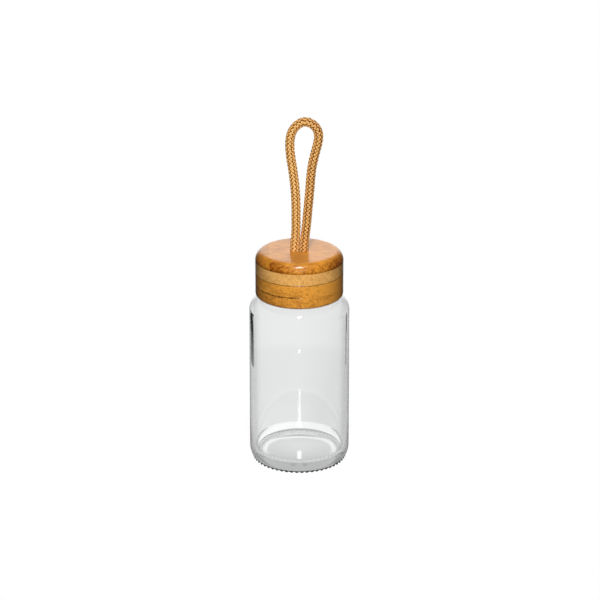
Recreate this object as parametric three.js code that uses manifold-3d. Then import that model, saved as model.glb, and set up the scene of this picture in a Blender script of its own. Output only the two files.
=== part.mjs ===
// A small clear glass bottle with a laminated bamboo screw cap and a braided carry loop.
// Millimetres, +Z up. The origin is the centre of the base, on the surface that the bottle stands on.
// The bottle is moulded glass, with a two-start thread on its neck and a knurled bearing ring.
// The cap is turned from four glued bamboo plies round a threaded plastic liner. The cord's two
// strands go down through a slot in the top ply and end in a knot between that ply and the liner.

import * as THREE from "three";
import { mergeVertices } from "three/addons/utils/BufferGeometryUtils.js";
import Module from "manifold-3d";

const wasm = await Module();
wasm.setup();

// Glass body.
const bottleRadius = 30;
const wallThickness = 2.3;
const straightWallTop = 94.6;
const shoulderRadius = 8.6;
const heelWidth = 3.8;
const heelHeight = 7;
const bearingWidth = 2.2;
const recessSlopeWidth = 1;
const recessSlopeHeight = 1.1;
const pushUpRise = 1.6;
const floorThickness = 4;
const floorCornerRadius = 3.2;
const floorCrown = 0.7;

// Knurl on the bearing ring: radial grooves, with a bar left between each two.
const knurlCount = 52;
const knurlDepth = 0.9;
const knurlGrooveWidth = 1.8;
const knurlGrooveFloorWidth = 0.8;
const knurlReachUpHeel = 2.2;

// Neck.
const neckRadius = 20.9;
const neckFilletRadius = 2.5;
const neckStraightHeight = 11.1;
const rimRounding = 0.8;

// Thread. The lead is what the cap rises in one turn; the starts share it.
const threadLead = 6;
const threadStarts = 2;
const threadDepth = 1.1;
const ridgeFootWidth = 1.7;
const ridgeCrestWidth = 0.7;
const neckThreadTurns = 1;
const linerThreadTurns = 0.75;
const neckThreadHeight = 1.8;
const threadFadeTurns = 0.08;
const threadCrestGap = 0.35;
const threadFlankGap = 0.2;
const threadStepsPerTurn = 36;

// Cap. The bottom and third plies share the height that the second and top plies leave.
const capWall = 2.2;
const secondPlyThickness = 7.1;
const topPlyThickness = 6;
const slotRoofThickness = 3.5;
const capTopRounding = 5.8;
const capBottomRounding = 2;
const capShoulderGap = 1.37;

// Liner and gasket.
const linerWall = 1.35;
const linerTopThickness = 1.5;
const linerRecess = 0.5;
const glueGrooveDepth = 0.5;
const glueGrooveHeight = 1.6;
const glueGrooveSpacing = 5;
const glueGrooveCount = 2;
const plugRingWidth = 0.9;
const plugRingHeight = 3;
const gasketWidth = 4.1;
const gasketThickness = 1.8;
const gasketEdgeRounding = 0.4;

// Cord and knot. The knot's line reaches 1.5 times its loop radius from the middle, and passes
// itself at 0.832 times that radius.
const cordDiameter = 5.2;
const cordSides = 10;
const cordSteps = 56;
const knotReachShare = 1.5;
const knotNearShare = 0.832;
const knotCordDiameter = 4.2;
const knotHeight = 7.2;
const knotSides = 8;
const knotSteps = 48;

// Clearances, and how far a cutting tool runs past the piece.
const fitGap = 0.3;
const strandGap = 0.3;
const overrun = 1;

const roundSegments = 48;
const smallRoundSegments = 36;

// The cord loop's route above the cap, as sideways and upward distances in millimetres from the
// point where the two strands leave the slot. It goes up the left strand and down the right one.
const loopRoute = [
  [-2.75, 2.9],
  [-2.25, 8],
  [-1.95, 14],
  [-1.95, 20],
  [-1.95, 26],
  [-2.1, 32],
  [-2.5, 38.5],
  [-3.2, 45],
  [-4.05, 51.5],
  [-4.95, 57.5],
  [-5.5, 63.5],
  [-5.35, 68.5],
  [-4.2, 73.2],
  [-1.6, 76.8],
  [1.7, 78.9],
  [5.2, 78.9],
  [8.7, 76.8],
  [10.9, 73.1],
  [11.1, 68.4],
  [10, 63.2],
  [8.6, 57.5],
  [7.4, 51.5],
  [6.65, 45],
  [6.2, 38.5],
  [5.65, 32],
  [5.1, 26],
  [4.6, 20],
  [4, 14],
  [3.3, 8],
  [2.75, 2.9],
];

// Radii and heights that follow from the sizes above.
const innerRadius = bottleRadius - wallThickness;
const boreRadius = neckRadius - wallThickness;
const bearingOuterRadius = bottleRadius - heelWidth;
const bearingInnerRadius = bearingOuterRadius - bearingWidth;
const recessRadius = bearingInnerRadius - recessSlopeWidth;
const floorHeight = recessSlopeHeight + pushUpRise + floorThickness - floorCrown;

const shoulderCentre = new THREE.Vector2(bottleRadius - shoulderRadius, straightWallTop);
const filletRun = neckRadius + neckFilletRadius - shoulderCentre.x;
const filletRise = Math.sqrt((shoulderRadius + neckFilletRadius) ** 2 - filletRun ** 2);
const filletCentre = new THREE.Vector2(neckRadius + neckFilletRadius, straightWallTop + filletRise);
const shoulderTurn = Math.atan2(filletRise, filletRun);
const neckBase = filletCentre.y;
const rimTop = neckBase + neckStraightHeight;

const neckCrestRadius = neckRadius + threadDepth;
const linerRootRadius = neckCrestRadius + threadCrestGap;
const linerOuterRadius = linerRootRadius + linerWall;
const pocketRadius = linerOuterRadius + fitGap;
const gasketBottom = rimTop + fitGap;
const gasketTop = gasketBottom + gasketThickness;
const gasketInnerRadius = (neckRadius + boreRadius - gasketWidth) / 2;
const plugRingRadius = gasketInnerRadius - fitGap;
const linerCeiling = gasketTop + fitGap;
const linerTop = linerCeiling + linerTopThickness;
const linerBottom = shoulderHeightAt(linerRootRadius) + capShoulderGap;
const pocketTop = linerTop + fitGap;
const capRadius = pocketRadius + capWall;
const capBottom = linerBottom - linerRecess;

const cordRadius = cordDiameter / 2;
const strandOffset = (cordDiameter + strandGap) / 2;
const knotLoopRadius = (knotCordDiameter + strandGap) / knotNearShare;
const knotRadius = knotLoopRadius * knotReachShare + knotCordDiameter / 2;
const knotMiddle = pocketTop + fitGap + knotHeight / 2;
const cavityRadius = knotRadius + fitGap;
const cavityTop = knotMiddle + knotHeight / 2 + fitGap;
const capTop = cavityTop + slotRoofThickness;

// The plies from the bottom up.
const lowerPlyThickness = (capTop - capBottom - secondPlyThickness - topPlyThickness) / 2;
const plies = [
  { name: "cap_ply_bottom", thickness: lowerPlyThickness, colour: 0xc98d3c },
  { name: "cap_ply_third", thickness: lowerPlyThickness, colour: 0xcb9242 },
  { name: "cap_ply_second", thickness: secondPlyThickness, colour: 0xdca763 },
  { name: "cap_ply_top", thickness: topPlyThickness, colour: 0xb8721f },
];

// Height of the glass under the cap: the neck's fillet, or the shoulder further out.
function shoulderHeightAt(radius) {
  const tangentRadius = shoulderCentre.x + shoulderRadius * Math.cos(shoulderTurn);
  if (radius < tangentRadius) {
    return filletCentre.y - Math.sqrt(neckFilletRadius ** 2 - (filletCentre.x - radius) ** 2);
  }
  return shoulderCentre.y + Math.sqrt(shoulderRadius ** 2 - (radius - shoulderCentre.x) ** 2);
}

// Points along an arc of an ellipse.
function arcPoints(centreX, centreY, radiusX, radiusY, fromAngle, toAngle, steps) {
  const points = [];
  for (let i = 0; i <= steps; i++) {
    const angle = fromAngle + ((toAngle - fromAngle) * i) / steps;
    const x = centreX + radiusX * Math.cos(angle);
    const y = centreY + radiusY * Math.sin(angle);
    points.push(new THREE.Vector2(x, y));
  }
  return points;
}

// Points of a shallow dome, a parabola from the axis out to its rim.
function domePoints(rimRadius, rimHeight, rise, steps) {
  const points = [];
  for (let i = 0; i <= steps; i++) {
    const share = i / steps;
    points.push(new THREE.Vector2(rimRadius * share, rimHeight + rise * (1 - share * share)));
  }
  return points;
}

function lathe(points, segments = roundSegments) {
  return new THREE.LatheGeometry(points, segments).rotateX(Math.PI / 2);
}

function disc(radius, low, high, segments = roundSegments) {
  return lathe(
    [
      new THREE.Vector2(0, low),
      new THREE.Vector2(radius, low),
      new THREE.Vector2(radius, high),
      new THREE.Vector2(0, high),
    ],
    segments,
  );
}

// A closed geometry as a solid: its doubled vertices merged, and the faces left out that
// shrank to an edge on the axis or where two arcs meet.
function solid(geometry) {
  const bare = geometry.clone();
  bare.deleteAttribute("normal");
  bare.deleteAttribute("uv");
  const merged = mergeVertices(bare);
  const corners = merged.index.array;
  const triVerts = [];
  for (let i = 0; i < corners.length; i += 3) {
    const [a, b, c] = corners.slice(i, i + 3);
    if (a !== b && b !== c && c !== a) {
      triVerts.push(a, b, c);
    }
  }
  return new wasm.Manifold(
    new wasm.Mesh({
      numProp: 3,
      vertProperties: merged.attributes.position.array,
      triVerts: new Uint32Array(triVerts),
    }),
  );
}

function geometryOf(body) {
  const mesh = body.getMesh();
  const geometry = new THREE.BufferGeometry();
  geometry.setAttribute("position", new THREE.BufferAttribute(mesh.vertProperties, 3));
  geometry.setIndex(new THREE.BufferAttribute(mesh.triVerts, 1));
  geometry.computeVertexNormals();
  return geometry;
}

// One thread ridge: a trapezoid swept up a helix, with its foot sunk in the wall and both its
// ends fading into it. side is 1 for a ridge outside its wall and -1 for one inside.
function threadRidge(wallRadius, side, turns, startAngle, startHeight) {
  const steps = Math.round(turns * threadStepsPerTurn);
  const footRadius = wallRadius - side * threadCrestGap;
  const buriedRadius = wallRadius - (side * threadCrestGap) / 2;
  const crestRadius = wallRadius + side * threadDepth;
  const vertices = [];
  for (let i = 0; i <= steps; i++) {
    const turned = (turns * i) / steps;
    const fade = Math.min(1, turned / threadFadeTurns, (turns - turned) / threadFadeTurns);
    const topRadius = buriedRadius + (crestRadius - buriedRadius) * fade;
    const angle = startAngle + turned * 2 * Math.PI;
    const height = startHeight + turned * threadLead;
    const section = [
      [footRadius, height - ridgeFootWidth / 2],
      [topRadius, height - ridgeCrestWidth / 2],
      [topRadius, height + ridgeCrestWidth / 2],
      [footRadius, height + ridgeFootWidth / 2],
    ];
    for (const [radius, z] of section) {
      vertices.push(radius * Math.cos(angle), radius * Math.sin(angle), z);
    }
  }
  const faces = [];
  const addQuad = (a, b, c, d) => {
    if (side > 0) {
      faces.push(a, c, b, a, d, c);
    } else {
      faces.push(a, b, c, a, c, d);
    }
  };
  for (let i = 0; i < steps; i++) {
    const here = i * 4;
    for (let k = 0; k < 4; k++) {
      const next = (k + 1) % 4;
      addQuad(here + k, here + next, here + 4 + next, here + 4 + k);
    }
  }
  const last = steps * 4;
  addQuad(3, 2, 1, 0);
  addQuad(last, last + 1, last + 2, last + 3);
  const geometry = new THREE.BufferGeometry();
  geometry.setAttribute("position", new THREE.Float32BufferAttribute(vertices, 3));
  geometry.setIndex(faces);
  return solid(geometry);
}

function addThread(body, wallRadius, side, turns, startHeight) {
  let threaded = body;
  for (let start = 0; start < threadStarts; start++) {
    const angle = (start * 2 * Math.PI) / threadStarts;
    threaded = threaded.add(threadRidge(wallRadius, side, turns, angle, startHeight));
  }
  return threaded;
}

// Glass bottle. Its wall runs up the outside, over the rim and back down the inside.
function glassProfile() {
  const quarter = Math.PI / 2;
  const shoulder = [shoulderCentre.x, shoulderCentre.y];
  const fillet = [filletCentre.x, filletCentre.y];
  const innerShoulder = shoulderRadius - wallThickness;
  const innerFillet = neckFilletRadius + wallThickness;
  const rimCentreHeight = rimTop - rimRounding;
  const outerRim = [neckRadius - rimRounding, rimCentreHeight];
  const innerRim = [boreRadius + rimRounding, rimCentreHeight];
  const cornerX = innerRadius - floorCornerRadius;
  const corner = [cornerX, floorHeight + floorCornerRadius];
  const heel = [bearingOuterRadius, heelHeight];
  return [
    ...domePoints(recessRadius, recessSlopeHeight, pushUpRise, 3),
    new THREE.Vector2(bearingInnerRadius, 0),
    ...arcPoints(...heel, heelWidth, heelHeight, -quarter, 0, 5),
    ...arcPoints(...shoulder, shoulderRadius, shoulderRadius, 0, shoulderTurn, 6),
    ...arcPoints(
      ...fillet,
      neckFilletRadius,
      neckFilletRadius,
      shoulderTurn - Math.PI,
      -Math.PI,
      3,
    ).slice(1),
    ...arcPoints(...outerRim, rimRounding, rimRounding, 0, quarter, 2),
    ...arcPoints(...innerRim, rimRounding, rimRounding, quarter, Math.PI, 2),
    ...arcPoints(...fillet, innerFillet, innerFillet, -Math.PI, shoulderTurn - Math.PI, 3),
    ...arcPoints(...shoulder, innerShoulder, innerShoulder, shoulderTurn, 0, 4).slice(1),
    ...arcPoints(...corner, floorCornerRadius, floorCornerRadius, 0, -quarter, 4),
    ...domePoints(cornerX, floorHeight, floorCrown, 2).reverse().slice(1),
  ];
}

// A groove across the bearing ring: a trapezoid, wide where it opens, swept outwards.
function knurlGroove(angle) {
  const section = new THREE.Shape([
    new THREE.Vector2(-knurlGrooveWidth / 2, -overrun),
    new THREE.Vector2(knurlGrooveWidth / 2, -overrun),
    new THREE.Vector2(knurlGrooveWidth / 2, 0),
    new THREE.Vector2(knurlGrooveFloorWidth / 2, knurlDepth),
    new THREE.Vector2(-knurlGrooveFloorWidth / 2, knurlDepth),
    new THREE.Vector2(-knurlGrooveWidth / 2, 0),
  ]);
  const length = recessSlopeWidth + bearingWidth + knurlReachUpHeel;
  return new THREE.ExtrudeGeometry(section, { depth: length, bevelEnabled: false })
    .rotateX(Math.PI / 2)
    .translate(0, recessRadius + length, 0)
    .rotateZ(angle - Math.PI / 2);
}

function makeGlassBottle() {
  let body = solid(lathe(glassProfile()));
  body = addThread(body, neckRadius, 1, neckThreadTurns, neckBase + neckThreadHeight);
  for (let i = 0; i < knurlCount; i++) {
    body = body.subtract(solid(knurlGroove(((i + 0.5) * 2 * Math.PI) / knurlCount)));
  }
  return geometryOf(body);
}

// Bamboo cap: one turned blank with its liner pocket, knot cavity and cord slot.
function makeCapBlank() {
  const bottomX = capRadius - capBottomRounding;
  const bottomY = capBottom + capBottomRounding;
  const topX = capRadius - capTopRounding;
  const topY = capTop - capTopRounding;
  const profile = [
    new THREE.Vector2(0, capBottom),
    ...arcPoints(bottomX, bottomY, capBottomRounding, capBottomRounding, -Math.PI / 2, 0, 3),
    ...arcPoints(topX, topY, capTopRounding, capTopRounding, 0, Math.PI / 2, 7),
    new THREE.Vector2(0, capTop),
  ];
  const slotRadius = cordRadius + strandGap;
  const slot = new THREE.Shape();
  slot.absarc(strandOffset, 0, slotRadius, -Math.PI / 2, Math.PI / 2);
  slot.absarc(-strandOffset, 0, slotRadius, Math.PI / 2, (3 * Math.PI) / 2);
  const slotCut = new THREE.ExtrudeGeometry(slot, {
    depth: capTop - cavityTop + 2 * overrun,
    curveSegments: 5,
    bevelEnabled: false,
  }).translate(0, 0, cavityTop - overrun);
  return solid(lathe(profile))
    .subtract(solid(disc(pocketRadius, capBottom - overrun, pocketTop)))
    .subtract(solid(disc(cavityRadius, pocketTop - overrun, cavityTop, smallRoundSegments)))
    .subtract(solid(slotCut));
}

// The blank parted into its plies, whose glued faces lie at the same heights.
function makePlies() {
  const blank = makeCapBlank();
  let low = capBottom;
  return plies.map(({ name, thickness, colour }) => {
    const high = low + thickness;
    const ply = blank.intersect(solid(disc(capRadius + overrun, low, high)));
    low = high;
    return node(name, geometryOf(ply), bamboo(colour));
  });
}

// Plastic liner: a cup with glue grooves outside, the thread inside, and a plug ring under its
// top that holds the gasket and enters the bottle's mouth.
function makeThreadedLiner() {
  const middle = (linerBottom + linerTop) / 2;
  const grooves = [];
  for (let i = 0; i < glueGrooveCount; i++) {
    const centre = middle + (i - (glueGrooveCount - 1) / 2) * glueGrooveSpacing;
    const low = centre - glueGrooveHeight / 2;
    const high = centre + glueGrooveHeight / 2;
    grooves.push(
      new THREE.Vector2(linerOuterRadius, low),
      new THREE.Vector2(linerOuterRadius - glueGrooveDepth, low),
      new THREE.Vector2(linerOuterRadius - glueGrooveDepth, high),
      new THREE.Vector2(linerOuterRadius, high),
    );
  }
  const plugBottom = linerCeiling - plugRingHeight;
  const profile = [
    new THREE.Vector2(linerRootRadius, linerBottom),
    new THREE.Vector2(linerOuterRadius, linerBottom),
    ...grooves,
    new THREE.Vector2(linerOuterRadius, linerTop),
    new THREE.Vector2(0, linerTop),
    new THREE.Vector2(0, linerCeiling),
    new THREE.Vector2(plugRingRadius - plugRingWidth, linerCeiling),
    new THREE.Vector2(plugRingRadius - plugRingWidth, plugBottom),
    new THREE.Vector2(plugRingRadius, plugBottom),
    new THREE.Vector2(plugRingRadius, linerCeiling),
    new THREE.Vector2(linerRootRadius, linerCeiling),
    new THREE.Vector2(linerRootRadius, linerBottom),
  ];
  // The liner's ridges lie under the neck's, drawn up until their flanks almost meet.
  const flankSlope = (ridgeFootWidth - ridgeCrestWidth) / (threadDepth + threadCrestGap) / 2;
  const drop = ridgeCrestWidth + flankSlope * (threadDepth - threadCrestGap) + threadFlankGap;
  const startHeight = neckBase + neckThreadHeight - drop;
  return geometryOf(
    addThread(solid(lathe(profile)), linerRootRadius, -1, linerThreadTurns, startHeight),
  );
}

function makeGasket() {
  const outerX = gasketInnerRadius + gasketWidth - gasketEdgeRounding;
  const innerX = gasketInnerRadius + gasketEdgeRounding;
  const lowY = gasketBottom + gasketEdgeRounding;
  const highY = gasketTop - gasketEdgeRounding;
  const corner = (x, y, angle) =>
    arcPoints(x, y, gasketEdgeRounding, gasketEdgeRounding, angle, angle + Math.PI / 2, 1);
  const profile = [
    ...corner(outerX, lowY, -Math.PI / 2),
    ...corner(outerX, highY, 0),
    ...corner(innerX, highY, Math.PI / 2),
    ...corner(innerX, lowY, Math.PI),
  ];
  return geometryOf(solid(lathe([...profile, profile[0]])));
}

// Cord loop: a round tube along its route, with a round end where each strand leaves the slot.
function makeCordLoop() {
  const section = new THREE.Shape();
  section.absarc(0, 0, cordRadius, 0, 2 * Math.PI);
  const points = loopRoute.map(([across, up]) => new THREE.Vector3(across, 0, capTop + up));
  const tube = new THREE.ExtrudeGeometry(section, {
    steps: cordSteps,
    curveSegments: cordSides / 2,
    extrudePath: new THREE.CatmullRomCurve3(points),
    bevelEnabled: false,
  });
  const roundEnd = ({ x, y, z }) =>
    solid(new THREE.SphereGeometry(cordRadius, cordSides, cordSides - 2).translate(x, y, z));
  return geometryOf(
    solid(tube)
      .add(roundEnd(points[0]))
      .add(roundEnd(points[points.length - 1])),
  );
}

// The overhand knot that holds the cord under the top ply, pressed flat in its cavity, with
// both strands up the slot to the top face.
function makeCordKnot() {
  const flatten = knotHeight / (knotLoopRadius + knotCordDiameter);
  const knot = new THREE.TorusKnotGeometry(
    knotLoopRadius,
    knotCordDiameter / 2,
    knotSteps,
    knotSides,
  )
    .scale(1, 1, flatten)
    .translate(0, 0, knotMiddle);
  let body = solid(knot);
  for (const side of [-1, 1]) {
    const length = capTop - knotMiddle;
    const strand = new THREE.CylinderGeometry(cordRadius, cordRadius, length, cordSides)
      .rotateX(Math.PI / 2)
      .translate(side * strandOffset, 0, knotMiddle + length / 2);
    body = body.add(solid(strand));
  }
  return geometryOf(body);
}

// Materials.
const glass = new THREE.MeshStandardMaterial({
  color: 0xeaf0ef,
  roughness: 0.03,
  metalness: 0,
  transparent: true,
  opacity: 0.35,
});
const plastic = new THREE.MeshStandardMaterial({ color: 0xf0eee8, roughness: 0.45, metalness: 0 });
const silicone = new THREE.MeshStandardMaterial({ color: 0xe2e2de, roughness: 0.6, metalness: 0 });
const braid = new THREE.MeshStandardMaterial({ color: 0xe0a050, roughness: 0.8, metalness: 0 });

function bamboo(colour) {
  return new THREE.MeshStandardMaterial({ color: colour, roughness: 0.4, metalness: 0 });
}

function node(name, geometry, material) {
  const mesh = new THREE.Mesh(geometry, material);
  mesh.name = name;
  return mesh;
}

// Assembly.
const cap = new THREE.Group();
cap.add(
  ...makePlies(),
  node("threaded_liner", makeThreadedLiner(), plastic),
  node("cord_knot", makeCordKnot(), braid),
);

const bottle = new THREE.Group();
bottle.add(
  node("glass_bottle", makeGlassBottle(), glass),
  node("seal_gasket", makeGasket(), silicone),
  cap,
  node("cord_loop", makeCordLoop(), braid),
);

export default bottle;
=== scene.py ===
"""The looks of a small glass bottle with a laminated bamboo screw cap and a braided cord loop."""

import math

import bpy
import numpy as np
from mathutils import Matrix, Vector


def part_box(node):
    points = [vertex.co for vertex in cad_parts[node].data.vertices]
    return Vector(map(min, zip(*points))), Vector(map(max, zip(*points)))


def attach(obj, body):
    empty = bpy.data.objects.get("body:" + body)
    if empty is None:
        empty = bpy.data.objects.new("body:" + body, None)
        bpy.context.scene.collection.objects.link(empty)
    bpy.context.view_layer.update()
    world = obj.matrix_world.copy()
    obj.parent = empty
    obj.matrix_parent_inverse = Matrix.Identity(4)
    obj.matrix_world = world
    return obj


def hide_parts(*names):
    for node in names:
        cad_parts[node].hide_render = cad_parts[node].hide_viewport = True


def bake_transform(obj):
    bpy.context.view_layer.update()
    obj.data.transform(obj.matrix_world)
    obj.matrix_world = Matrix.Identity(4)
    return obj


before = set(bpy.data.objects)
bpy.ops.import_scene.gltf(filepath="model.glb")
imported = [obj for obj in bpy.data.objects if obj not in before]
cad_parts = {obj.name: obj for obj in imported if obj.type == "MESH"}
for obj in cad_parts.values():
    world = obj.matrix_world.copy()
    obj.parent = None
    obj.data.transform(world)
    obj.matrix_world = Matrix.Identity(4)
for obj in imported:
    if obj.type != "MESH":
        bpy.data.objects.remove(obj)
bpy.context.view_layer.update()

bl_info = {
    "name": "Glass Bottle with Bamboo Cap",
    "version": (1, 0, 0),
    "blender": (4, 5, 0),
    "location": "3D View > Sidebar > Bottle",
    "description": "Builds a clear glass bottle, its bamboo cap, seal, liner and braided loop",
    "category": "Object",
}

MM = 0.001
NO_GAP = 1e-6
FULL_TURN = 2 * math.pi
WHITE = (1, 1, 1, 1)

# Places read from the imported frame.
BOTTLE_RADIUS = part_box("glass_bottle")[1].x
RIM_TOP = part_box("glass_bottle")[1].z
CAP_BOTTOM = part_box("cap_ply_bottom")[0].z
CAP_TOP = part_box("cap_ply_top")[1].z
CAP_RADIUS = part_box("cap_ply_second")[1].x
PLY_HEIGHTS = [CAP_BOTTOM] + [
    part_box(node)[1].z for node in ("cap_ply_bottom", "cap_ply_third", "cap_ply_second", "cap_ply_top")
]
LINER_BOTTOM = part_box("threaded_liner")[0].z
LINER_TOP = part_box("threaded_liner")[1].z
LINER_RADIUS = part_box("threaded_liner")[1].x
GASKET_LOW, GASKET_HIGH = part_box("seal_gasket")

# Sizes that the CAD model holds too: clearances, the knot and the thread.
FIT_GAP = 0.3 * MM
THREAD_LEAD = 6 * MM
THREAD_STARTS = 2
THREAD_DEPTH = 1.1 * MM
RIDGE_FOOT_WIDTH = 1.7 * MM
RIDGE_CREST_WIDTH = 0.7 * MM
THREAD_CREST_GAP = 0.35 * MM
THREAD_FLANK_GAP = 0.2 * MM
NECK_THREAD_HEIGHT = 1.8 * MM
NECK_THREAD_TURNS = 1.0
LINER_THREAD_TURNS = 0.75
THREAD_FADE_TURNS = 0.08
KNOT_HEIGHT = 7.2 * MM
KNOT_CORD_DIAMETER = 4.2 * MM
KNOT_NEAR_SHARE = 0.832
KNOT_REACH_SHARE = 1.5
SLOT_ROOF = 3.5 * MM
CORD_DIAMETER = 5.2 * MM
STRAND_GAP = 0.3 * MM
STRAND_OFFSET = (CORD_DIAMETER + STRAND_GAP) / 2
KNOT_LOOP_RADIUS = (KNOT_CORD_DIAMETER + STRAND_GAP) / KNOT_NEAR_SHARE
CAVITY_TOP = CAP_TOP - SLOT_ROOF
CAVITY_RADIUS = KNOT_LOOP_RADIUS * KNOT_REACH_SHARE + KNOT_CORD_DIAMETER / 2 + FIT_GAP
KNOT_MIDDLE = CAVITY_TOP - FIT_GAP - KNOT_HEIGHT / 2
POCKET_TOP = LINER_TOP + FIT_GAP
POCKET_RADIUS = LINER_RADIUS + FIT_GAP

# Sizes of the visual model only. The yarns lie a little outside the CAD model's smooth cord, and
# the slot is closer round the cord.
BRAID_RADIUS = 2.78 * MM
SLOT_RADIUS = CORD_DIAMETER / 2 + 0.05 * MM
LINER_COLUMNS = 288
GASKET_COLUMNS = 192
KNOT_STEPS = 96
ROUTE_STEPS = 8

# The loop's route, sideways and up from the cap's top, in millimetres. It goes up the left
# strand and down the right one.
LOOP_ROUTE = [
    (-2.75, 2.9), (-2.25, 8), (-1.95, 14), (-1.95, 20), (-1.95, 26), (-2.1, 32), (-2.5, 38.5),
    (-3.2, 45), (-4.05, 51.5), (-4.95, 57.5), (-5.5, 63.5), (-5.35, 68.5), (-4.2, 73.2),
    (-1.6, 76.8), (1.7, 78.9), (5.2, 78.9), (8.7, 76.8), (10.9, 73.1), (11.1, 68.4), (10, 63.2),
    (8.6, 57.5), (7.4, 51.5), (6.65, 45), (6.2, 38.5), (5.65, 32), (5.1, 26), (4.6, 20), (4, 14),
    (3.3, 8), (2.75, 2.9),
]


def srgb(red, green, blue):
    """A colour as seen on screen, 0 to 255, as Blender's linear values."""
    shares = [value / 255 for value in (red, green, blue)]
    return tuple(s / 12.92 if s <= 0.04045 else ((s + 0.055) / 1.055) ** 2.4 for s in shares)


def Length(name, description, millimetres):
    default = millimetres * MM
    return bpy.props.FloatProperty(
        name=name, description=description, default=default, min=0, unit="LENGTH", precision=5
    )


def Place(name, description, default):
    return bpy.props.FloatVectorProperty(
        name=name, description=description, default=default, subtype="XYZ", unit="LENGTH"
    )


def Colour(name, description, default):
    return bpy.props.FloatVectorProperty(
        name=name, description=description, default=default, min=0, max=1, size=3, subtype="COLOR"
    )


def Number(name, description, default, unit="NONE"):
    return bpy.props.FloatProperty(name=name, description=description, default=default, unit=unit)


def Count(name, description, default, least):
    return bpy.props.IntProperty(name=name, description=description, default=default, min=least)


# Settings, with lengths in millimetres.
class GlassSettings(bpy.types.PropertyGroup):
    wall: Length("Wall", "Thickness of the glass wall", 2.3)
    straight_top: Length("Straight Wall Top", "Height where the shoulder starts", 94.6)
    shoulder_radius: Length("Shoulder Radius", "Radius of the shoulder's arc", 8.6)
    heel_width: Length("Heel Width", "How far the heel draws in", 3.8)
    heel_height: Length("Heel Height", "How high the heel's curve reaches", 7)
    bearing_width: Length("Bearing Width", "Width of the ring it stands on", 2.2)
    recess_width: Length("Recess Slope Width", "Width of the slope inside the bearing ring", 1)
    recess_height: Length("Recess Slope Height", "Height of the slope inside the bearing ring", 1.1)
    push_up: Length("Push-up Rise", "Rise of the base's dome", 1.6)
    floor_thickness: Length("Floor Thickness", "Glass over the dome's middle", 4)
    floor_corner: Length("Floor Corner", "Width and height of the slope into the floor", 3.2)
    corner_rounding: Length("Corner Rounding", "Rounding at both ends of the slope into the floor", 0.6)
    floor_crown: Length("Floor Crown", "Rise of the inner floor", 0.7)
    neck_radius: Length("Neck Radius", "Outer radius of the neck", 20.9)
    neck_fillet: Length("Neck Fillet", "Fillet between shoulder and neck", 2.5)
    rim_rounding: Length("Rim Rounding", "Rounding of the rim's edges", 0.8)
    knurl_count: Count("Knurl Count", "Grooves across the bearing ring", 52, 3)
    knurl_depth: Length("Knurl Depth", "Depth of the grooves", 0.9)
    groove_width: Length("Groove Width", "Width of a groove where it opens", 1.8)
    groove_floor: Length("Groove Floor", "Width of a groove's floor", 0.8)
    columns_per_groove: Count("Columns per Groove", "Mesh columns for each groove", 12, 4)
    tint: Colour("Tint", "Colour of the glass", (0.985, 0.992, 0.99))
    # Painted shade: the glass's colour darkens towards its outlines.
    painted_edge_shade: Colour("Edge Tint", "Colour towards its outlines", (0.75, 0.755, 0.76))


class CapSettings(bpy.types.PropertyGroup):
    top_rounding: Length("Top Rounding", "Rounding of the cap's top edge", 5.8)
    bottom_rounding: Length("Bottom Rounding", "Rounding of the lower edge", 2)
    slot_edge: Length("Slot Edge", "Rounding round the cord's slot", 0.25)
    glue_line: Length("Glue Line", "Broken edge on each side of a glue line", 0.14)
    columns: Count("Columns", "Mesh columns round the cap", 256, 16)
    top_light: Colour("Top Ply Light", "Light fibres of the top ply", srgb(236, 158, 52))
    top_dark: Colour("Top Ply Dark", "Dark fibres of the top ply", srgb(138, 66, 2))
    pale_light: Colour("Second Ply Light", "Light fibres of the second ply", srgb(252, 194, 112))
    pale_dark: Colour("Second Ply Dark", "Dark fibres of the second ply", srgb(210, 144, 66))
    amber_light: Colour("Lower Plies Light", "Light fibres of the two lower plies", srgb(244, 168, 66))
    amber_dark: Colour("Lower Plies Dark", "Dark fibres of the two lower plies", srgb(150, 76, 4))
    # Also the colour of the painted shade along the top ply's lower edge.
    line_colour: Colour("Glue Line Colour", "Colour in the glue lines", srgb(84, 40, 4))


class LinerSettings(bpy.types.PropertyGroup):
    wall: Length("Liner Wall", "Thickness behind the thread's root", 1.35)
    top_thickness: Length("Liner Top", "Thickness of the liner's top", 1.5)
    groove_depth: Length("Glue Groove Depth", "Depth of the glue grooves", 0.5)
    groove_height: Length("Glue Groove Height", "Height of the glue grooves", 1.6)
    groove_spacing: Length("Glue Groove Spacing", "From one groove to the next", 5)
    plug_radius: Length("Plug Ring Radius", "Outer radius of the plug ring", 17.4)
    plug_width: Length("Plug Ring Width", "Wall of the plug ring", 0.9)
    plug_height: Length("Plug Ring Height", "Height of the plug ring", 3)
    edge: Length("Edge", "Broken edges of the moulding", 0.2)
    colour: Colour("Liner Colour", "Colour of the liner", srgb(240, 238, 232))
    gasket_width: Length("Gasket Width", "Width of the seal's ring", 4.1)
    gasket_rounding: Length("Gasket Rounding", "Rounding of the seal's edges", 0.4)
    gasket_colour: Colour("Gasket Colour", "Colour of the seal", srgb(228, 227, 222))


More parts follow.
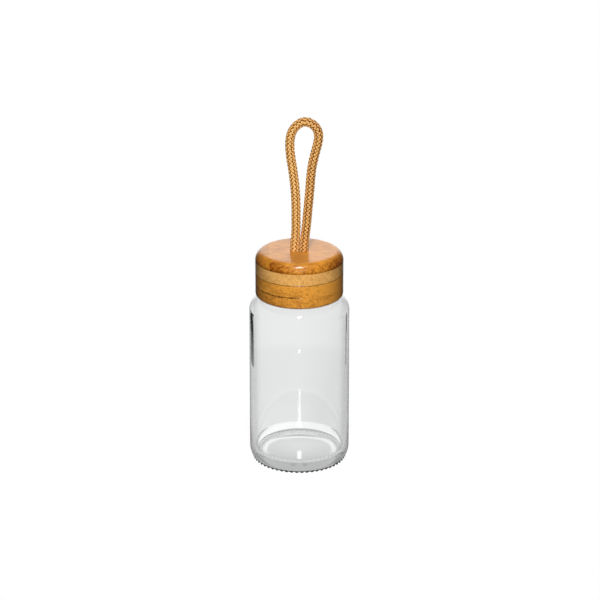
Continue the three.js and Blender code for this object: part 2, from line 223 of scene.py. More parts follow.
class CordSettings(bpy.types.PropertyGroup):
    yarns: Count("Yarns per Way", "Yarns that wind each way", 12, 4)
    lay: Length("Lay", "Length along the cord of a yarn's full turn", 27)
    yarn_width: Length("Yarn Width", "Width of a flattened yarn", 1.16)
    yarn_thickness: Length("Yarn Thickness", "Thickness of a yarn", 0.74)
    weave_height: Length("Weave Height", "How far a yarn rises and dips", 0.4)
    step: Length("Step", "Distance between points along a yarn", 0.47)
    # Painted light and shade on one yarn colour: light on top of a float, middling on its sides and
    # dark in its dips.
    light: Colour("Yarn Light", "Filaments on top of a float", srgb(255, 208, 132))
    middle: Colour("Yarn Middle", "Filaments on a float's sides", srgb(230, 154, 64))
    dark: Colour("Yarn Dark", "Filaments in the dips", srgb(104, 54, 8))
    # Painted shade: the core is dark so that the gaps between the yarns look shaded.
    core: Colour("Core", "Core between the yarns", srgb(84, 42, 8))


class StageSettings(bpy.types.PropertyGroup):
    lens: Number("Lens", "Focal length on a 36 mm sensor", 146.2, "CAMERA")
    camera_place: Place("Camera", "Where the camera stands", (0.0004, -1.3537, 0.6292))
    camera_aim: Place("Aim", "The point that the camera looks at", (0.0004, 0, 0.1004))
    ambient: Number("Ambient", "Strength of the world's light on the object", 0.04)
    backdrop: Number("Backdrop", "How bright mirrors see the backdrop", 1.25)
    key_power: Number("Key", "Power of the softbox over the front", 4.6, "POWER")
    front_power: Number("Front", "Power of the softbox in front", 0.33, "POWER")
    back_power: Number("Back", "Power of the softbox behind", 10.0, "POWER")
    floor_reach: Length("Floor Reach", "Half the width of the floor", 4000)


SETTINGS = {
    "bottle_glass": GlassSettings,
    "bottle_cap": CapSettings,
    "bottle_liner": LinerSettings,
    "bottle_cord": CordSettings,
    "bottle_stage": StageSettings,
}


# Node trees.
class Value:
    """What a node gives. The signs + - * / add Math nodes, and a name picks another output."""

    def __init__(self, tree, socket):
        self.tree = tree
        self.socket = socket

    def __getitem__(self, name):
        return Value(self.tree, self.socket.node.outputs[name])

    def __add__(self, other):
        return calc("ADD", self, other)

    def __sub__(self, other):
        return calc("SUBTRACT", self, other)

    def __rsub__(self, other):
        return calc("SUBTRACT", other, self)

    def __mul__(self, other):
        return calc("MULTIPLY", self, other)

    def __truediv__(self, other):
        return calc("DIVIDE", self, other)

    def __rtruediv__(self, other):
        return calc("DIVIDE", other, self)

    def __abs__(self):
        return calc("ABSOLUTE", self)


def put(tree, kind, inputs=None, **settings):
    """Adds a node and gives its first output. Inputs go by name or number: a Value is linked, and
    anything else is set."""
    node = tree.nodes.new(kind)
    for name, value in settings.items():
        setattr(node, name, value)
    for key, value in (inputs or {}).items():
        if isinstance(value, Value):
            tree.links.new(value.socket, node.inputs[key])
        else:
            node.inputs[key].default_value = value
    return Value(tree, node.outputs[0]) if len(node.outputs) else None


def calc(operation, *values, kind="ShaderNodeMath"):
    """What a Math node gives, in the tree that its values come from."""
    tree = next(value.tree for value in values if isinstance(value, Value))
    return put(tree, kind, dict(enumerate(values)), operation=operation)


def vector_calc(operation, *values):
    return calc(operation, *values, kind="ShaderNodeVectorMath")


def scaled(vector, factor):
    inputs = {0: vector, "Scale": factor}
    return put(vector.tree, "ShaderNodeVectorMath", inputs, operation="SCALE")


def length_of(vector):
    return vector_calc("LENGTH", vector)["Value"]


def parts_of(vector):
    """A vector's parts, to be picked by their letters."""
    return put(vector.tree, "ShaderNodeSeparateXYZ", {0: vector})


def turn_share(parts):
    """The share of a turn round the vertical axis, from -0.5 to 0.5."""
    return calc("ARCTAN2", parts["Y"], parts["X"]) / FULL_TURN


def ramp(value, low, high, kind="LINEAR"):
    """0 where value is at low and 1 where it is at high, held at both ends."""
    inputs = {"Value": value, "From Min": low, "From Max": high}
    return put(value.tree, "ShaderNodeMapRange", inputs, interpolation_type=kind)


def geometry_tree(name, counts=(), floats=(), materials=("Material",)):
    """A Geometry Nodes tree and its inputs, to be picked by their names."""
    tree = bpy.data.node_groups.new(name, "GeometryNodeTree")
    kinds = {"Geometry": ["Geometry"], "Int": counts, "Float": floats, "Material": materials}
    for kind, labels in kinds.items():
        for label in labels:
            tree.interface.new_socket(label, in_out="INPUT", socket_type="NodeSocket" + kind)
    tree.interface.new_socket("Geometry", in_out="OUTPUT", socket_type="NodeSocketGeometry")
    return tree, put(tree, "NodeGroupInput")


def moved(geometry, **inputs):
    return put(geometry.tree, "GeometryNodeSetPosition", {"Geometry": geometry, **inputs})


def dressed(geometry, material):
    inputs = {"Geometry": geometry, "Material": material}
    return put(geometry.tree, "GeometryNodeSetMaterial", inputs)


def finish_tree(geometry):
    """Ends a tree, with its instances made real."""
    real = put(geometry.tree, "GeometryNodeRealizeInstances", {"Geometry": geometry})
    put(geometry.tree, "NodeGroupOutput", {"Geometry": real})


def add_tree_modifier(piece, tree, values):
    """Puts a tree on a piece, with its inputs set by their identifiers."""
    modifier = piece.modifiers.new(tree.name, "NODES")
    modifier.node_group = tree
    sockets = {s.name: s.identifier for s in tree.interface.items_tree if s.in_out == "INPUT"}
    for label, value in values.items():
        modifier[sockets[label]] = value


def new_object(name, data):
    thing = bpy.data.objects.new(name, data)
    bpy.context.scene.collection.objects.link(thing)
    return thing


def new_mesh(name, points, edges, faces):
    mesh = bpy.data.meshes.new(name)
    mesh.from_pydata(points, edges, faces)
    return mesh


def baked_piece(name, source):
    """The evaluated source as a plain mesh object of that name. The source is removed."""
    bpy.context.view_layer.update()
    evaluated = source.evaluated_get(bpy.context.evaluated_depsgraph_get())
    mesh = bpy.data.meshes.new_from_object(evaluated)
    mesh.name = name
    bpy.data.objects.remove(source)
    if not len(mesh.polygons):
        raise RuntimeError(f"{name} came out empty")
    return new_object(name, mesh)


def shade(piece, sharp_degrees):
    piece.data.shade_smooth()
    piece.data.set_sharp_from_angle(angle=math.radians(sharp_degrees))


def point_outwards(piece):
    """Turns the faces of a closed mesh so that they point out of the solid."""
    mesh = piece.data
    mesh.calc_loop_triangles()
    points = np.empty(len(mesh.vertices) * 3)
    mesh.vertices.foreach_get("co", points)
    corners = np.empty(len(mesh.loop_triangles) * 3, dtype=int)
    mesh.loop_triangles.foreach_get("vertices", corners)
    a, b, c = points.reshape(-1, 3)[corners.reshape(-1, 3)].transpose(1, 0, 2)
    if np.einsum("ij,ij->i", a, np.cross(b, c)).sum() < 0:
        mesh.flip_normals()


# Outlines, as (radius, height) points.
def arc(centre_x, centre_y, radius_x, radius_y, start, end, steps):
    """Points along an arc of an ellipse. The angles are in degrees."""
    angles = [math.radians(start + (end - start) * i / steps) for i in range(steps + 1)]
    return [(centre_x + radius_x * math.cos(a), centre_y + radius_y * math.sin(a)) for a in angles]


def dome(rim_radius, rim_height, rise, steps):
    """Points of a shallow dome, from the axis out to its rim."""
    shares = [i / steps for i in range(steps + 1)]
    return [(rim_radius * s, rim_height + rise * (1 - s * s)) for s in shares]


def straight(start, end, steps):
    """Points from start towards end, without the last one."""
    return [
        (start[0] + (end[0] - start[0]) * i / steps, start[1] + (end[1] - start[1]) * i / steps)
        for i in range(steps)
    ]


def outline_object(name, points):
    """An outline as a mesh of edges, which the lathe tree turns."""
    edges = [(i, i + 1) for i in range(len(points) - 1)]
    return new_object(name, new_mesh(name, [(x, 0, z) for x, z in points], edges, []))


# Turned pieces.
def lathe_tree():
    """Turns an outline about the vertical axis, and closes its seam and its poles."""
    tree, given = geometry_tree("Turn Outline", counts=["Columns"])
    outline = given["Geometry"]
    rows = put(tree, "GeometryNodeAttributeDomainSize", {"Geometry": outline}, component="MESH")
    seam_columns = given["Columns"] + 1
    inputs = {"Vertices X": rows["Point Count"], "Vertices Y": seam_columns}
    grid = put(tree, "GeometryNodeMeshGrid", inputs)
    index = put(tree, "GeometryNodeInputIndex")
    row = calc("FLOOR", (index + 0.5) / seam_columns)
    angle = (index - row * seam_columns) * FULL_TURN / given["Columns"]
    inputs = {"Geometry": outline, "Value": put(tree, "GeometryNodeInputPosition"), "Index": row}
    kind = "GeometryNodeSampleIndex"
    point = parts_of(put(tree, kind, inputs, data_type="FLOAT_VECTOR", domain="POINT"))
    radius = point["X"]
    x, y = radius * calc("COSINE", angle), radius * calc("SINE", angle)
    place = {"X": x, "Y": y, "Z": point["Z"]}
    turned = moved(grid["Mesh"], Position=put(tree, "ShaderNodeCombineXYZ", place))
    inputs = {"Geometry": turned, "Distance": NO_GAP}
    merged = put(tree, "GeometryNodeMergeByDistance", inputs)
    finish_tree(dressed(merged, given["Material"]))
    return tree


def polar_place(tree):
    """A point's place without its height, its radius, its share of a turn and its height."""
    parts = parts_of(put(tree, "GeometryNodeInputPosition"))
    flat = put(tree, "ShaderNodeCombineXYZ", {"X": parts["X"], "Y": parts["Y"]})
    return flat, length_of(flat), turn_share(parts), parts["Z"]


def thread_tree():
    """Raises helical thread ridges out of a straight wall, or inwards where Side is -1."""
    widths = ["Wall Radius", "Side", "Depth", "Foot Width", "Crest Width", "Lead"]
    runs = ["Turns", "Fade Turns", "Start Height"]
    tree, given = geometry_tree("Thread Ridges", floats=widths + runs)
    flat, radius, turn, height = polar_place(tree)
    rise = 0
    for start in range(THREAD_STARTS):
        turned = calc("FRACT", turn + (1 - start / THREAD_STARTS))
        away = abs(height - (turned * given["Lead"] + given["Start Height"]))
        flank = ramp(away, given["Foot Width"] / 2, given["Crest Width"] / 2)
        nearest_end = calc("MINIMUM", turned, given["Turns"] - turned)
        fade = ramp(nearest_end, 0, given["Fade Turns"], "SMOOTHSTEP")
        rise = calc("MAXIMUM", flank * fade, rise)
    rise = rise * given["Depth"] * given["Side"]
    inputs = {"A": abs(radius - given["Wall Radius"]), "B": NO_GAP}
    on_wall = put(tree, "FunctionNodeCompare", inputs, operation="LESS_THAN")
    offset = scaled(vector_calc("NORMALIZE", flat), rise)
    ridged = moved(given["Geometry"], Selection=on_wall, Offset=offset)
    finish_tree(dressed(ridged, given["Material"]))
    return tree


def wall_foot_width():
    """Width of a ridge where it leaves its wall: its foot is sunk a crest gap deep."""
    slope = (RIDGE_FOOT_WIDTH - RIDGE_CREST_WIDTH) / (THREAD_DEPTH + THREAD_CREST_GAP)
    return RIDGE_FOOT_WIDTH - slope * THREAD_CREST_GAP


def add_thread(piece, material, wall_radius, side, turns, start_height):
    values = {
        "Wall Radius": wall_radius,
        "Side": side,
        "Depth": THREAD_DEPTH,
        "Foot Width": wall_foot_width(),
        "Crest Width": RIDGE_CREST_WIDTH,
        "Lead": THREAD_LEAD,
        "Turns": turns,
        "Fade Turns": THREAD_FADE_TURNS,
        "Start Height": start_height,
        "Material": material,
    }
    add_tree_modifier(piece, thread_tree(), values)


def knurl_tree():
    """Cuts radial grooves up into the bearing ring: what is lower than a groove is lifted to it."""
    widths = ["Groove Depth", "Groove Width", "Floor Width", "Inner Radius"]
    tree, given = geometry_tree("Knurled Ring", counts=["Count"], floats=widths)
    flat, radius, turn, height = polar_place(tree)
    share = calc("FRACT", (turn + 1) * given["Count"])
    away = abs(share - 0.5) * (radius * FULL_TURN / given["Count"])
    lift = ramp(away, given["Groove Width"] / 2, given["Floor Width"] / 2) * given["Groove Depth"]
    parts = parts_of(flat)
    place = {"X": parts["X"], "Y": parts["Y"], "Z": calc("MAXIMUM", height, lift)}
    inputs = {"A": radius, "B": given["Inner Radius"]}
    outside = put(tree, "FunctionNodeCompare", inputs, operation="GREATER_THAN")
    lifted = put(tree, "ShaderNodeCombineXYZ", place)
    cut = moved(given["Geometry"], Selection=outside, Position=lifted)
    finish_tree(dressed(cut, given["Material"]))
    return tree


class BOTTLE_OT_glass_body(bpy.types.Operator):
    """Build the moulded glass bottle with its neck thread and knurled bearing ring"""

    bl_idname = "bottle.glass_body"
    bl_label = "Glass Body"

    def execute(self, context):
        sizes = context.scene.bottle_glass
        material = glass_material(sizes)
        source = outline_object("glass_outline", glass_outline(sizes))
        columns = sizes.knurl_count * sizes.columns_per_groove
        add_tree_modifier(source, lathe_tree(), {"Columns": columns, "Material": material})
        start = neck_base(sizes) + NECK_THREAD_HEIGHT
        add_thread(source, material, sizes.neck_radius, 1.0, NECK_THREAD_TURNS, start)
        grooves = {
            "Count": sizes.knurl_count,
            "Groove Depth": sizes.knurl_depth,
            "Groove Width": sizes.groove_width,
            "Floor Width": sizes.groove_floor,
            "Inner Radius": recess_radius(sizes),
            "Material": material,
        }
        add_tree_modifier(source, knurl_tree(), grooves)
        piece = baked_piece("bottle_glass", source)
        point_outwards(piece)
        shade(piece, 40)
        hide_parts("glass_bottle")
        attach(piece, "bottle")
        return {"FINISHED"}


def recess_radius(sizes):
    return BOTTLE_RADIUS - sizes.heel_width - sizes.bearing_width - sizes.recess_width


def shoulder_centre(sizes):
    return BOTTLE_RADIUS - sizes.shoulder_radius, sizes.straight_top


def neck_base(sizes):
    """Height of the neck fillet's centre."""
    run = sizes.neck_radius + sizes.neck_fillet - shoulder_centre(sizes)[0]
    return sizes.straight_top + math.sqrt((sizes.shoulder_radius + sizes.neck_fillet) ** 2 - run**2)


def glass_outline(sizes):
    """Up the outside from the middle of the base, over the rim, and down the inside. The last
    number in each line is its count of steps."""
    centre_x, centre_y = shoulder_centre(sizes)
    fillet_x, fillet_y = sizes.neck_radius + sizes.neck_fillet, neck_base(sizes)
    turn = math.degrees(math.atan2(fillet_y - centre_y, fillet_x - centre_x))
    bore = sizes.neck_radius - sizes.wall
    rounding = sizes.rim_rounding
    rim_y = RIM_TOP - rounding
    inner = BOTTLE_RADIUS - sizes.wall
    corner_x = inner - sizes.floor_corner
    floor_y = sizes.recess_height + sizes.push_up + sizes.floor_thickness - sizes.floor_crown
    bearing_outer = BOTTLE_RADIUS - sizes.heel_width
    bearing_inner = bearing_outer - sizes.bearing_width
    neck_foot = (sizes.neck_radius, fillet_y)
    neck_head = (sizes.neck_radius, rim_y)
    corner_y = floor_y + sizes.floor_corner
    inner_shoulder = sizes.shoulder_radius - sizes.wall
    inner_fillet = sizes.neck_fillet + sizes.wall
    return [
        *dome(recess_radius(sizes), sizes.recess_height, sizes.push_up, 9),
        *straight((recess_radius(sizes), sizes.recess_height), (bearing_inner, 0), 3)[1:],
        *straight((bearing_inner, 0), (bearing_outer, 0), 3),
        *arc(bearing_outer, sizes.heel_height, sizes.heel_width, sizes.heel_height, -90, 0, 16),
        *straight((BOTTLE_RADIUS, sizes.heel_height), (BOTTLE_RADIUS, centre_y), 6)[1:],
        *arc(centre_x, centre_y, sizes.shoulder_radius, sizes.shoulder_radius, 0, turn, 16),
        *arc(fillet_x, fillet_y, sizes.neck_fillet, sizes.neck_fillet, turn - 180, -180, 6)[1:-1],
        *straight(neck_foot, neck_head, 44),
        *arc(sizes.neck_radius - rounding, rim_y, rounding, rounding, 0, 90, 5),
        *arc(bore + rounding, rim_y, rounding, rounding, 90, 180, 5),
        *straight((bore, rim_y), (bore, fillet_y), 2)[1:],
        *arc(fillet_x, fillet_y, inner_fillet, inner_fillet, -180, turn - 180, 6),
        *arc(centre_x, centre_y, inner_shoulder, inner_shoulder, turn, 0, 9)[1:],
        *straight((inner, centre_y), (inner, corner_y), 6)[1:],
        *corner_slope(sizes, (inner, corner_y), (corner_x, floor_y)),
        *dome(corner_x, floor_y, sizes.floor_crown, 6)[::-1][1:],
    ]


def corner_slope(sizes, wall_end, floor_end):
    """The slope from the wall into the inner floor, rounded at both ends."""
    rounding, bend = sizes.corner_rounding, math.tan(math.radians(22.5))
    high = (wall_end[0] - rounding, wall_end[1] + rounding * bend)
    low = (floor_end[0] - rounding * bend, floor_end[1] + rounding)
    upper_end = arc(*high, rounding, rounding, 0, -45, 5)
    return upper_end + arc(*low, rounding, rounding, -45, -90, 5)


# Cap plies.
def ring(radius, height, columns, slot_share=0.0):
    """One row of points round the axis. With a slot share of 1 it follows the slot's outline at
    that radius from the strands' middles, and in between it goes from one to the other."""
    angles = np.arange(columns) * FULL_TURN / columns + FULL_TURN / columns / 2
    x = np.cos(angles)
    shift = np.where(x > 0, STRAND_OFFSET, -STRAND_OFFSET) * slot_share
    heights = np.full(columns, height)
    return np.stack([x * radius + shift, np.sin(angles) * radius, heights], axis=1)


def ring_piece(name, rows, columns):
    """A closed piece from rows of points, each joined to the next and the last to the first."""
    faces = []
    for row in range(len(rows)):
        here, above = row * columns, ((row + 1) % len(rows)) * columns
        for column in range(columns):
            after = (column + 1) % columns
            faces.append((here + column, here + after, above + after, above + column))
    piece = new_object(name, new_mesh(name, np.concatenate(rows).tolist(), [], faces))
    point_outwards(piece)
    return piece


def round_rows(points, columns):
    return [ring(x, z, columns) for x, z in points]


def ply_outside(low, high, low_edge, high_edge):
    """The outside of a straight ply from its lower face to its upper one, edges broken."""
    return [
        (CAP_RADIUS - low_edge, low),
        (CAP_RADIUS, low + low_edge),
        (CAP_RADIUS, (low + high) / 2),
        (CAP_RADIUS, high - high_edge),
        (CAP_RADIUS - high_edge, high),
    ]


def straight_ply_outlines(sizes):
    """The three plies under the top one, each from the pocket's upper end down and round."""
    bottom, low, middle, high = PLY_HEIGHTS[:4]
    wide, narrow = sizes.glue_line, sizes.glue_line / 2
    rounding = sizes.bottom_rounding
    return {
        "bottom": [
            (POCKET_RADIUS, low),
            (POCKET_RADIUS, bottom),
            *arc(CAP_RADIUS - rounding, bottom + rounding, rounding, rounding, -90, 0, 9),
            *ply_outside(bottom, low, 0, narrow)[2:],
        ],
        "third": [
            (POCKET_RADIUS, middle),
            (POCKET_RADIUS, low),
            *ply_outside(low, middle, narrow, wide),
        ],
        "second": [
            (CAVITY_RADIUS, high),
            (CAVITY_RADIUS, POCKET_TOP),
            (POCKET_RADIUS, POCKET_TOP),
            (POCKET_RADIUS, middle),
            *ply_outside(middle, high, wide, narrow),
        ],
    }


def top_ply_rows(sizes):
    """The top ply from its cavity out over its lower face, up the side and in to the slot."""
    low, rounding, edge = PLY_HEIGHTS[3], sizes.top_rounding, sizes.slot_edge
    break_in = sizes.glue_line / 2
    side = [
        (CAVITY_RADIUS, CAVITY_TOP),
        (CAVITY_RADIUS, low),
        (CAP_RADIUS - break_in, low),
        (CAP_RADIUS, low + break_in),
        *arc(CAP_RADIUS - rounding, CAP_TOP - rounding, rounding, rounding, 0, 90, 18),
    ]
    rows = round_rows(side, sizes.columns)
    flat_radius, slot_radius = CAP_RADIUS - rounding, SLOT_RADIUS + edge
    for share in (0.25, 0.5, 0.75, 1):
        radius = flat_radius + (slot_radius - flat_radius) * share
        rows.append(ring(radius, CAP_TOP, sizes.columns, share))
    for x, z in arc(slot_radius, CAP_TOP - edge, edge, edge, 90, 180, 5)[1:]:
        rows.append(ring(x, z, sizes.columns, 1))
    rows.append(ring(SLOT_RADIUS, CAVITY_TOP, sizes.columns, 1))
    return rows


class BOTTLE_OT_cap_plies(bpy.types.Operator):
    """Build the cap's four turned bamboo plies"""

    bl_idname = "bottle.cap_plies"
    bl_label = "Cap Plies"

    def execute(self, context):
        sizes = context.scene.bottle_cap
        outlines = straight_ply_outlines(sizes)
        plies = {name: round_rows(line, sizes.columns) for name, line in outlines.items()}
        plies["top"] = top_ply_rows(sizes)
        materials = bamboo_materials(sizes)
        for name, rows in plies.items():
            piece = ring_piece(f"bamboo_ply_{name}", rows, sizes.columns)
            piece.data.materials.append(materials[name])
            shade(piece, 30)
            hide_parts(f"cap_ply_{name}")
            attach(piece, "cap")
        return {"FINISHED"}


# Liner and gasket.
class BOTTLE_OT_liner(bpy.types.Operator):
    """Build the moulded liner with its inner thread, glue grooves and plug ring"""

    bl_idname = "bottle.liner"
    bl_label = "Threaded Liner"

    def execute(self, context):
        sizes = context.scene.bottle_liner
        material = plastic_material(sizes)
        source = outline_object("liner_outline", liner_outline(sizes))
        add_tree_modifier(source, lathe_tree(), {"Columns": LINER_COLUMNS, "Material": material})
        slope = (RIDGE_FOOT_WIDTH - RIDGE_CREST_WIDTH) / (THREAD_DEPTH + THREAD_CREST_GAP) / 2
        drop = RIDGE_CREST_WIDTH + slope * (THREAD_DEPTH - THREAD_CREST_GAP) + THREAD_FLANK_GAP
        start = neck_base(context.scene.bottle_glass) + NECK_THREAD_HEIGHT - drop
        add_thread(source, material, LINER_RADIUS - sizes.wall, -1.0, LINER_THREAD_TURNS, start)
        piece = baked_piece("liner_moulding", source)
        point_outwards(piece)
        shade(piece, 35)
        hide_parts("threaded_liner")
        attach(piece, "cap")
        return {"FINISHED"}


def liner_outline(sizes):
    """From the middle of the top's upper face, down the outside, and up the thread's wall."""
    root = LINER_RADIUS - sizes.wall
    ceiling = LINER_TOP - sizes.top_thickness
    middle = (LINER_BOTTOM + LINER_TOP) / 2
    edge, floor = sizes.edge, LINER_RADIUS - sizes.groove_depth
    outside = [(0, LINER_TOP), (LINER_RADIUS - edge, LINER_TOP), (LINER_RADIUS, LINER_TOP - edge)]
    for side in (0.5, -0.5):
        centre = middle + side * sizes.groove_spacing
        high, low = centre + sizes.groove_height / 2, centre - sizes.groove_height / 2
        outside += [(LINER_RADIUS, high), (floor, high), (floor, low), (LINER_RADIUS, low)]
    outside += [(LINER_RADIUS, LINER_BOTTOM), (root, LINER_BOTTOM)]
    plug_inner, plug_low = sizes.plug_radius - sizes.plug_width, ceiling - sizes.plug_height
    return [
        *outside,
        *straight((root, LINER_BOTTOM), (root, ceiling), 60)[1:],
        (root, ceiling),
        (sizes.plug_radius, ceiling),
        (sizes.plug_radius, plug_low + edge),
        (sizes.plug_radius - edge, plug_low),
        (plug_inner + edge, plug_low),
        (plug_inner, plug_low + edge),
        (plug_inner, ceiling),
        (0, ceiling),
    ]


class BOTTLE_OT_gasket(bpy.types.Operator):
    """Build the flat silicone seal"""

    bl_idname = "bottle.gasket"
    bl_label = "Seal Gasket"

    def execute(self, context):
        sizes = context.scene.bottle_liner
        rounding = sizes.gasket_rounding
        outer = GASKET_HIGH.x - rounding
        inner = GASKET_HIGH.x - sizes.gasket_width + rounding
        low, high = GASKET_LOW.z + rounding, GASKET_HIGH.z - rounding
        outline = []
        for x, z, start in ((outer, low, -90), (outer, high, 0), (inner, high, 90), (inner, low, 180)):
            outline += arc(x, z, rounding, rounding, start, start + 90, 4)
        piece = ring_piece("silicone_seal", round_rows(outline, GASKET_COLUMNS), GASKET_COLUMNS)
        piece.data.materials.append(silicone_material(sizes))
        shade(piece, 60)
        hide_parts("seal_gasket")
        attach(piece, "gasket")
        return {"FINISHED"}


# Cord.
def captured(curve, along, tangent, normal):
    """A curve that holds on to the place along it, its tangent and its normal, and those three."""
    node = curve.tree.nodes.new("GeometryNodeCaptureAttribute")
    node.domain = "POINT"
    for kind, name in (("FLOAT", "along"), ("VECTOR", "tangent"), ("VECTOR", "normal")):
        node.capture_items.new(kind, name)
    held = {"Geometry": curve, "along": along, "tangent": tangent, "normal": normal}
    for name, value in held.items():
        curve.tree.links.new(value.socket, node.inputs[name])
    return [Value(curve.tree, node.outputs[name]) for name in held]


def stored(geometry, name, value):
    inputs = {"Geometry": geometry, "Name": name, "Value": value}
    kind = "GeometryNodeStoreNamedAttribute"
    return put(geometry.tree, kind, inputs, data_type="FLOAT", domain="POINT")


def braid_tree():
    """Braids flat yarns round a route, two over and two under, on a plain core.

    A yarn meets one of the other way at each crossing. It lies over two of them and under the
    next two, and each yarn's waves start two crossings on from its neighbour's, so the floats
    stand in columns along the cord."""
    widths = ["Cord Radius", "Weave Height", "Yarn Width", "Yarn Thickness", "Step"]
    tree, given = geometry_tree(
        "Braided Cord", ["Yarns per Way"], ["Lay"] + widths, ["Material", "Core Material"]
    )
    inputs = {"Curve": given["Geometry"], "Length": given["Step"]}
    route = put(tree, "GeometryNodeResampleCurve", inputs, mode="LENGTH")
    along = put(tree, "GeometryNodeSplineParameter")["Length"]
    tangent = put(tree, "GeometryNodeInputTangent")
    normal = put(tree, "GeometryNodeInputNormal")
    held, run, ahead, side = captured(route, along, tangent, normal)
    yarns_a_way, rise = given["Yarns per Way"], given["Weave Height"]
    inputs = {"Geometry": held, "Amount": yarns_a_way * 2}
    copies = put(tree, "GeometryNodeDuplicateElements", inputs, domain="SPLINE")
    number = copies["Duplicate Index"]
    back = calc("GREATER_THAN", number + 0.5, yarns_a_way)
    way = 1 - back * 2
    laps = run / given["Lay"]
    angle = (number / yarns_a_way + laps * way) * FULL_TURN
    crossings = laps * yarns_a_way * 2
    phase = (number * 2 + crossings * way - (back * 2 + 0.5)) / 4 * FULL_TURN
    wave = calc("COSINE", phase)
    flatness = 0.3
    weave = wave * (1 + flatness - wave * wave * flatness) * rise
    half_yarn = given["Yarn Thickness"] / 2
    middle_radius = given["Cord Radius"] - half_yarn - rise
    other_side = vector_calc("CROSS_PRODUCT", ahead, side)
    outward = vector_calc(
        "ADD", scaled(side, calc("COSINE", angle)), scaled(other_side, calc("SINE", angle))
    )
    wound = moved(copies["Geometry"], Offset=scaled(outward, middle_radius + weave))
    inputs = {"Curve": wound, "Normal": outward}
    marked = put(tree, "GeometryNodeSetCurveNormal", inputs, mode="FREE")
    # The yarn material paints its light and shade from these: how high a yarn lies, which end of a
    # float it is at, and which way it faces.
    marked = stored(marked, "yarn_run", run)
    marked = stored(marked, "yarn_lift", weave / rise)
    marked = stored(marked, "yarn_lean", calc("SINE", phase) * way)
    circle = put(tree, "GeometryNodeCurvePrimitiveCircle", {"Resolution": 8, "Radius": 1.0})
    flat = {"X": half_yarn, "Y": given["Yarn Width"] / 2, "Z": 1.0}
    inputs = {"Geometry": circle["Curve"], "Scale": put(tree, "ShaderNodeCombineXYZ", flat)}
    section = put(tree, "GeometryNodeTransform", inputs)
    round_yarn = put(tree, "GeometryNodeSplineParameter")["Factor"] * FULL_TURN
    section = stored(section, "yarn_out", calc("COSINE", round_yarn))
    # A yarn is squeezed narrow where it dips under the others.
    fullness = ramp(wave, -1, 0.8) * 0.36 + 0.68
    inputs = {"Curve": marked, "Profile Curve": section, "Scale": fullness, "Fill Caps": True}
    yarns = put(tree, "GeometryNodeCurveToMesh", inputs)
    inputs = {"Resolution": 12, "Radius": middle_radius - rise}
    circle = put(tree, "GeometryNodeCurvePrimitiveCircle", inputs)
    inputs = {"Curve": route, "Profile Curve": circle["Curve"], "Fill Caps": True}
    core = put(tree, "GeometryNodeCurveToMesh", inputs)
    joined = put(tree, "GeometryNodeJoinGeometry", {0: dressed(yarns, given["Material"])})
    dark = dressed(core, given["Core Material"])
    tree.links.new(dark.socket, joined.socket.node.inputs[0])
    finish_tree(joined)
    return tree


def smooth_route(points, steps):
    """Points on a smooth curve through the given ones, with so many steps from one to the next."""
    points = [np.array(p, float) for p in points]
    padded = [2 * points[0] - points[1], *points, 2 * points[-1] - points[-2]]
    route = []
    for i in range(len(points) - 1):
        a, b, c, d = padded[i : i + 4]
        square, cube = 2 * a - 5 * b + 4 * c - d, 3 * b - a - 3 * c + d
        for k in range(steps):
            t = k / steps
            route.append(0.5 * (2 * b + (c - a) * t + square * t**2 + cube * t**3))
    return np.array([*route, points[-1]])


def loop_route():
    """The loop from inside the knot's cavity, up through the slot, round, and down again."""
    above = [(x * MM, 0, CAP_TOP + z * MM) for x, z in LOOP_ROUTE]
    below = [(STRAND_OFFSET, 0, z) for z in (CAP_TOP, CAVITY_TOP, KNOT_MIDDLE)]
    left = [(-x, y, z) for x, y, z in reversed(below)]
    return smooth_route([*left, *above, *below], ROUTE_STEPS)


def route_object(name, points, closed=False):
    curve = bpy.data.curves.new(name, "CURVE")
    curve.dimensions = "3D"
    curve.twist_mode = "MINIMUM"
    spline = curve.splines.new("POLY")
    spline.points.add(len(points) - 1)
    for point, place in zip(spline.points, points):
        point.co = (*place, 1)
    spline.use_cyclic_u = closed
    return new_object(name, curve)


def add_braid(source, sizes, radius):
    """Braids a cord of that radius round the source. A thinner cord has the same braid."""
    scale = radius / (CORD_DIAMETER / 2)
    values = {
        "Yarns per Way": sizes.yarns,
        "Lay": sizes.lay * scale,
        "Cord Radius": radius,
        "Weave Height": sizes.weave_height * scale,
        "Yarn Width": sizes.yarn_width * scale,
        "Yarn Thickness": sizes.yarn_thickness * scale,
        "Step": sizes.step,
        "Material": yarn_material(sizes),
        "Core Material": core_material(sizes),
    }
    add_tree_modifier(source, braid_tree(), values)


class BOTTLE_OT_cord_loop(bpy.types.Operator):
    """Build the braided loop"""

    bl_idname = "bottle.cord_loop"
    bl_label = "Cord Loop"

    def execute(self, context):
        route = loop_route()
        source = route_object("loop_route", route)
        add_braid(source, context.scene.bottle_cord, BRAID_RADIUS)
        piece = baked_piece("braided_loop", source)
        piece.data.shade_smooth()
        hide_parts("cord_loop")
        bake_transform(piece)
        return {"FINISHED"}


